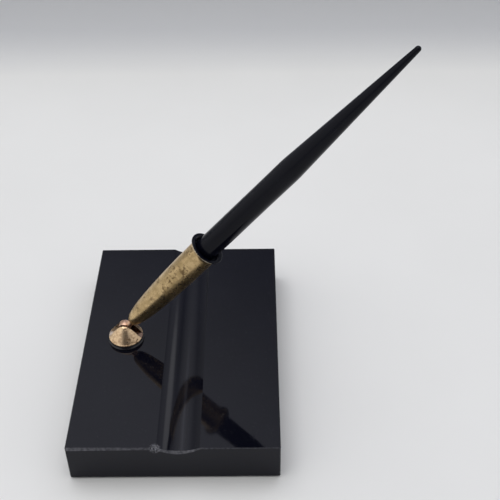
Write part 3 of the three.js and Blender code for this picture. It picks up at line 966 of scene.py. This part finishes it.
base_piece = place(slab(), "base", "black_glass", stands_for=["base_slab"])
felt_piece = place(felt_pad(), "base", "felt", stands_for=["felt_pad"])
place(seat_washer(), "base", "black_plastic", look="washer_black", stands_for=["seat_washer"])
place(dome(), "swivel", "brass", look="dome_brass", stands_for=["swivel_dome"])
place(pivot_screw(), "swivel", "steel", stands_for=["pivot_screw"])
place(knuckle(), "socket", "bronze", stands_for=["knuckle"])
place(shell(), "socket", "brass", stands_for=["socket_shell"])
place(liner(), "socket", "black_plastic", stands_for=["socket_liner"])
place(nib(), "pen", "gold_plate", stands_for=["nib"])
place(ink_feed(), "pen", "ebonite", stands_for=["feed"])
place(grip(), "pen", "black_plastic", stands_for=["grip_section"])
place(pen_barrel(), "pen", "black_plastic", stands_for=["barrel"])
place(pen_tail(), "filler", "black_plastic", stands_for=["pen_taper"])
place(plunger(), "filler", "steel", stands_for=["plunger_tube"])

node_slots = {part["node"]: part["material_slot"] for part in frame["record"]["subparts"]}
for node, cad_object in frame["nodes"].items():
    if not cad_object.hide_render:
        cad_object.data.materials.clear()
        cad_object.data.materials.append(LOOKS[node_slots[node]])
        cad_object.data.set_sharp_from_angle(angle=math.radians(35))

# ---------------------------------------------------------------- stage, camera and light


def studio():
    """A pale floor that sweeps up into a backdrop behind the stand."""
    build = bmesh.new()
    near_edge, half_width = -1.2, 1.6
    bend_y, bend_radius, rise = 0.31, 0.06, 0.16
    path = [(near_edge, 0), (bend_y - 0.2, 0)]
    path += [(bend_y + x, bend_radius + z) for x, z in arc((0, 0), bend_radius, -90, 0, 24)]
    path.append((bend_y + bend_radius, rise))
    sides = []
    for x in (-half_width, half_width):
        sides.append([build.verts.new((x / MM, y / MM, z / MM)) for y, z in path])
    for i in range(len(path) - 1):
        build.faces.new((sides[0][i], sides[1][i], sides[1][i + 1], sides[0][i + 1]))
    sweep = finish_mesh("sweep", build, Matrix.Identity(4), 60)
    look = Look("sweep_paper", Roughness=0.9, Specular_IOR_Level=0.2)
    # Painted shade: the backdrop that rises behind the stand is painted darker and bluer.
    backdrop_shade = look.spread(look.axis("Y"), bend_y / MM - 28, bend_y / MM + 28, 0, 1)
    paper = look.blend(look.grain(0.01, 0.3, 0.7), (0.775, 0.770, 0.738), (0.795, 0.790, 0.758))
    look.colour(look.blend(backdrop_shade, paper, (0.625, 0.63, 0.635)))
    sweep.data.materials.append(look.material)


def camera():
    pitch, yaw, roll = (math.radians(angle) for angle in (40.168, -0.575, -0.903))
    forward = Vector(
        (math.sin(yaw) * math.cos(pitch), math.cos(yaw) * math.cos(pitch), -math.sin(pitch))
    )
    data = bpy.data.cameras.new("camera")
    data.sensor_width = 36
    data.lens = 64.69
    data.clip_start = 0.01
    seen_from = bpy.data.objects.new("camera", data)
    seen_from.rotation_mode = "QUATERNION"
    seen_from.location = (0.03537, -0.29200, 0.31877)
    seen_from.rotation_quaternion = forward.to_track_quat("-Z", "Y") @ Quaternion((0, 0, 1), roll)
    bpy.context.scene.collection.objects.link(seen_from)
    bpy.context.scene.camera = seen_from


def soft_light(name, location, target, size, power):
    data = bpy.data.lights.new(name, "AREA")
    data.shape = "RECTANGLE"
    data.size, data.size_y = size
    data.energy = power
    lamp = bpy.data.objects.new(name, data)
    lamp.location = location
    aim = Vector(target) - Vector(location)
    lamp.rotation_mode = "QUATERNION"
    lamp.rotation_quaternion = aim.to_track_quat("-Z", "Y")
    bpy.context.scene.collection.objects.link(lamp)


def surroundings():
    """A dim bluish room with brighter patches, and somebody standing behind the camera."""
    world = bpy.data.worlds.new("room")
    bpy.context.scene.world = world
    world.use_nodes = True
    tree = world.node_tree
    coordinates = tree.nodes.new("ShaderNodeTexCoord")

    def towards(direction, low, high):
        dot = tree.nodes.new("ShaderNodeVectorMath")
        dot.operation = "DOT_PRODUCT"
        dot.inputs[1].default_value = Vector(direction).normalized()
        fade = tree.nodes.new("ShaderNodeMapRange")
        fade.interpolation_type = "SMOOTHSTEP"
        fade.inputs["From Min"].default_value = low
        fade.inputs["From Max"].default_value = high
        tree.links.new(coordinates.outputs["Generated"], dot.inputs[0])
        tree.links.new(dot.outputs["Value"], fade.inputs["Value"])
        return fade.outputs["Result"]

    def mix(mask, before, colour):
        node = tree.nodes.new("ShaderNodeMix")
        node.data_type = "RGBA"
        tree.links.new(mask, node.inputs["Factor"])
        if isinstance(before, tuple):
            node.inputs[6].default_value = before
        else:
            tree.links.new(before, node.inputs[6])
        node.inputs[7].default_value = colour
        return node.outputs[2]

    room = (0.33, 0.345, 0.43, 1)
    patches = [
        ((-1, -0.2, 0.35), 0.35, 0.95, (0.95, 0.95, 0.96, 1)),  # left side
        ((1, -0.3, 0.5), 0.45, 0.95, (0.70, 0.71, 0.74, 1)),  # right side
        ((-0.25, 0.35, 0.9), 0.83, 0.985, (1.55, 1.58, 1.75, 1)),  # overhead, towards the back
        ((0.5, 0.5, 0.7), 0.90, 1.0, (1.05, 1.07, 1.22, 1)),  # high on the right
        ((0.39, 0.63, 0.67), 0.990, 0.999, (2.4, 2.42, 2.6, 1)),  # small window within it
        ((0.05, -0.9, 0.5), 0.79, 0.96, (0.045, 0.045, 0.05, 1)),  # somebody behind the camera
    ]
    for direction, low, high, colour in patches:
        room = mix(towards(direction, low, high), room, colour)
    tree.links.new(room, tree.nodes["Background"].inputs["Color"])
    tree.nodes["Background"].inputs["Strength"].default_value = 0.85


studio()
camera()
surroundings()
soft_light("overhead", (-0.08, 0.0, 1.25), (0, 0, 0.03), (1.5, 1.1), 7.0)
bpy.context.scene.view_settings.view_transform = "Standard"
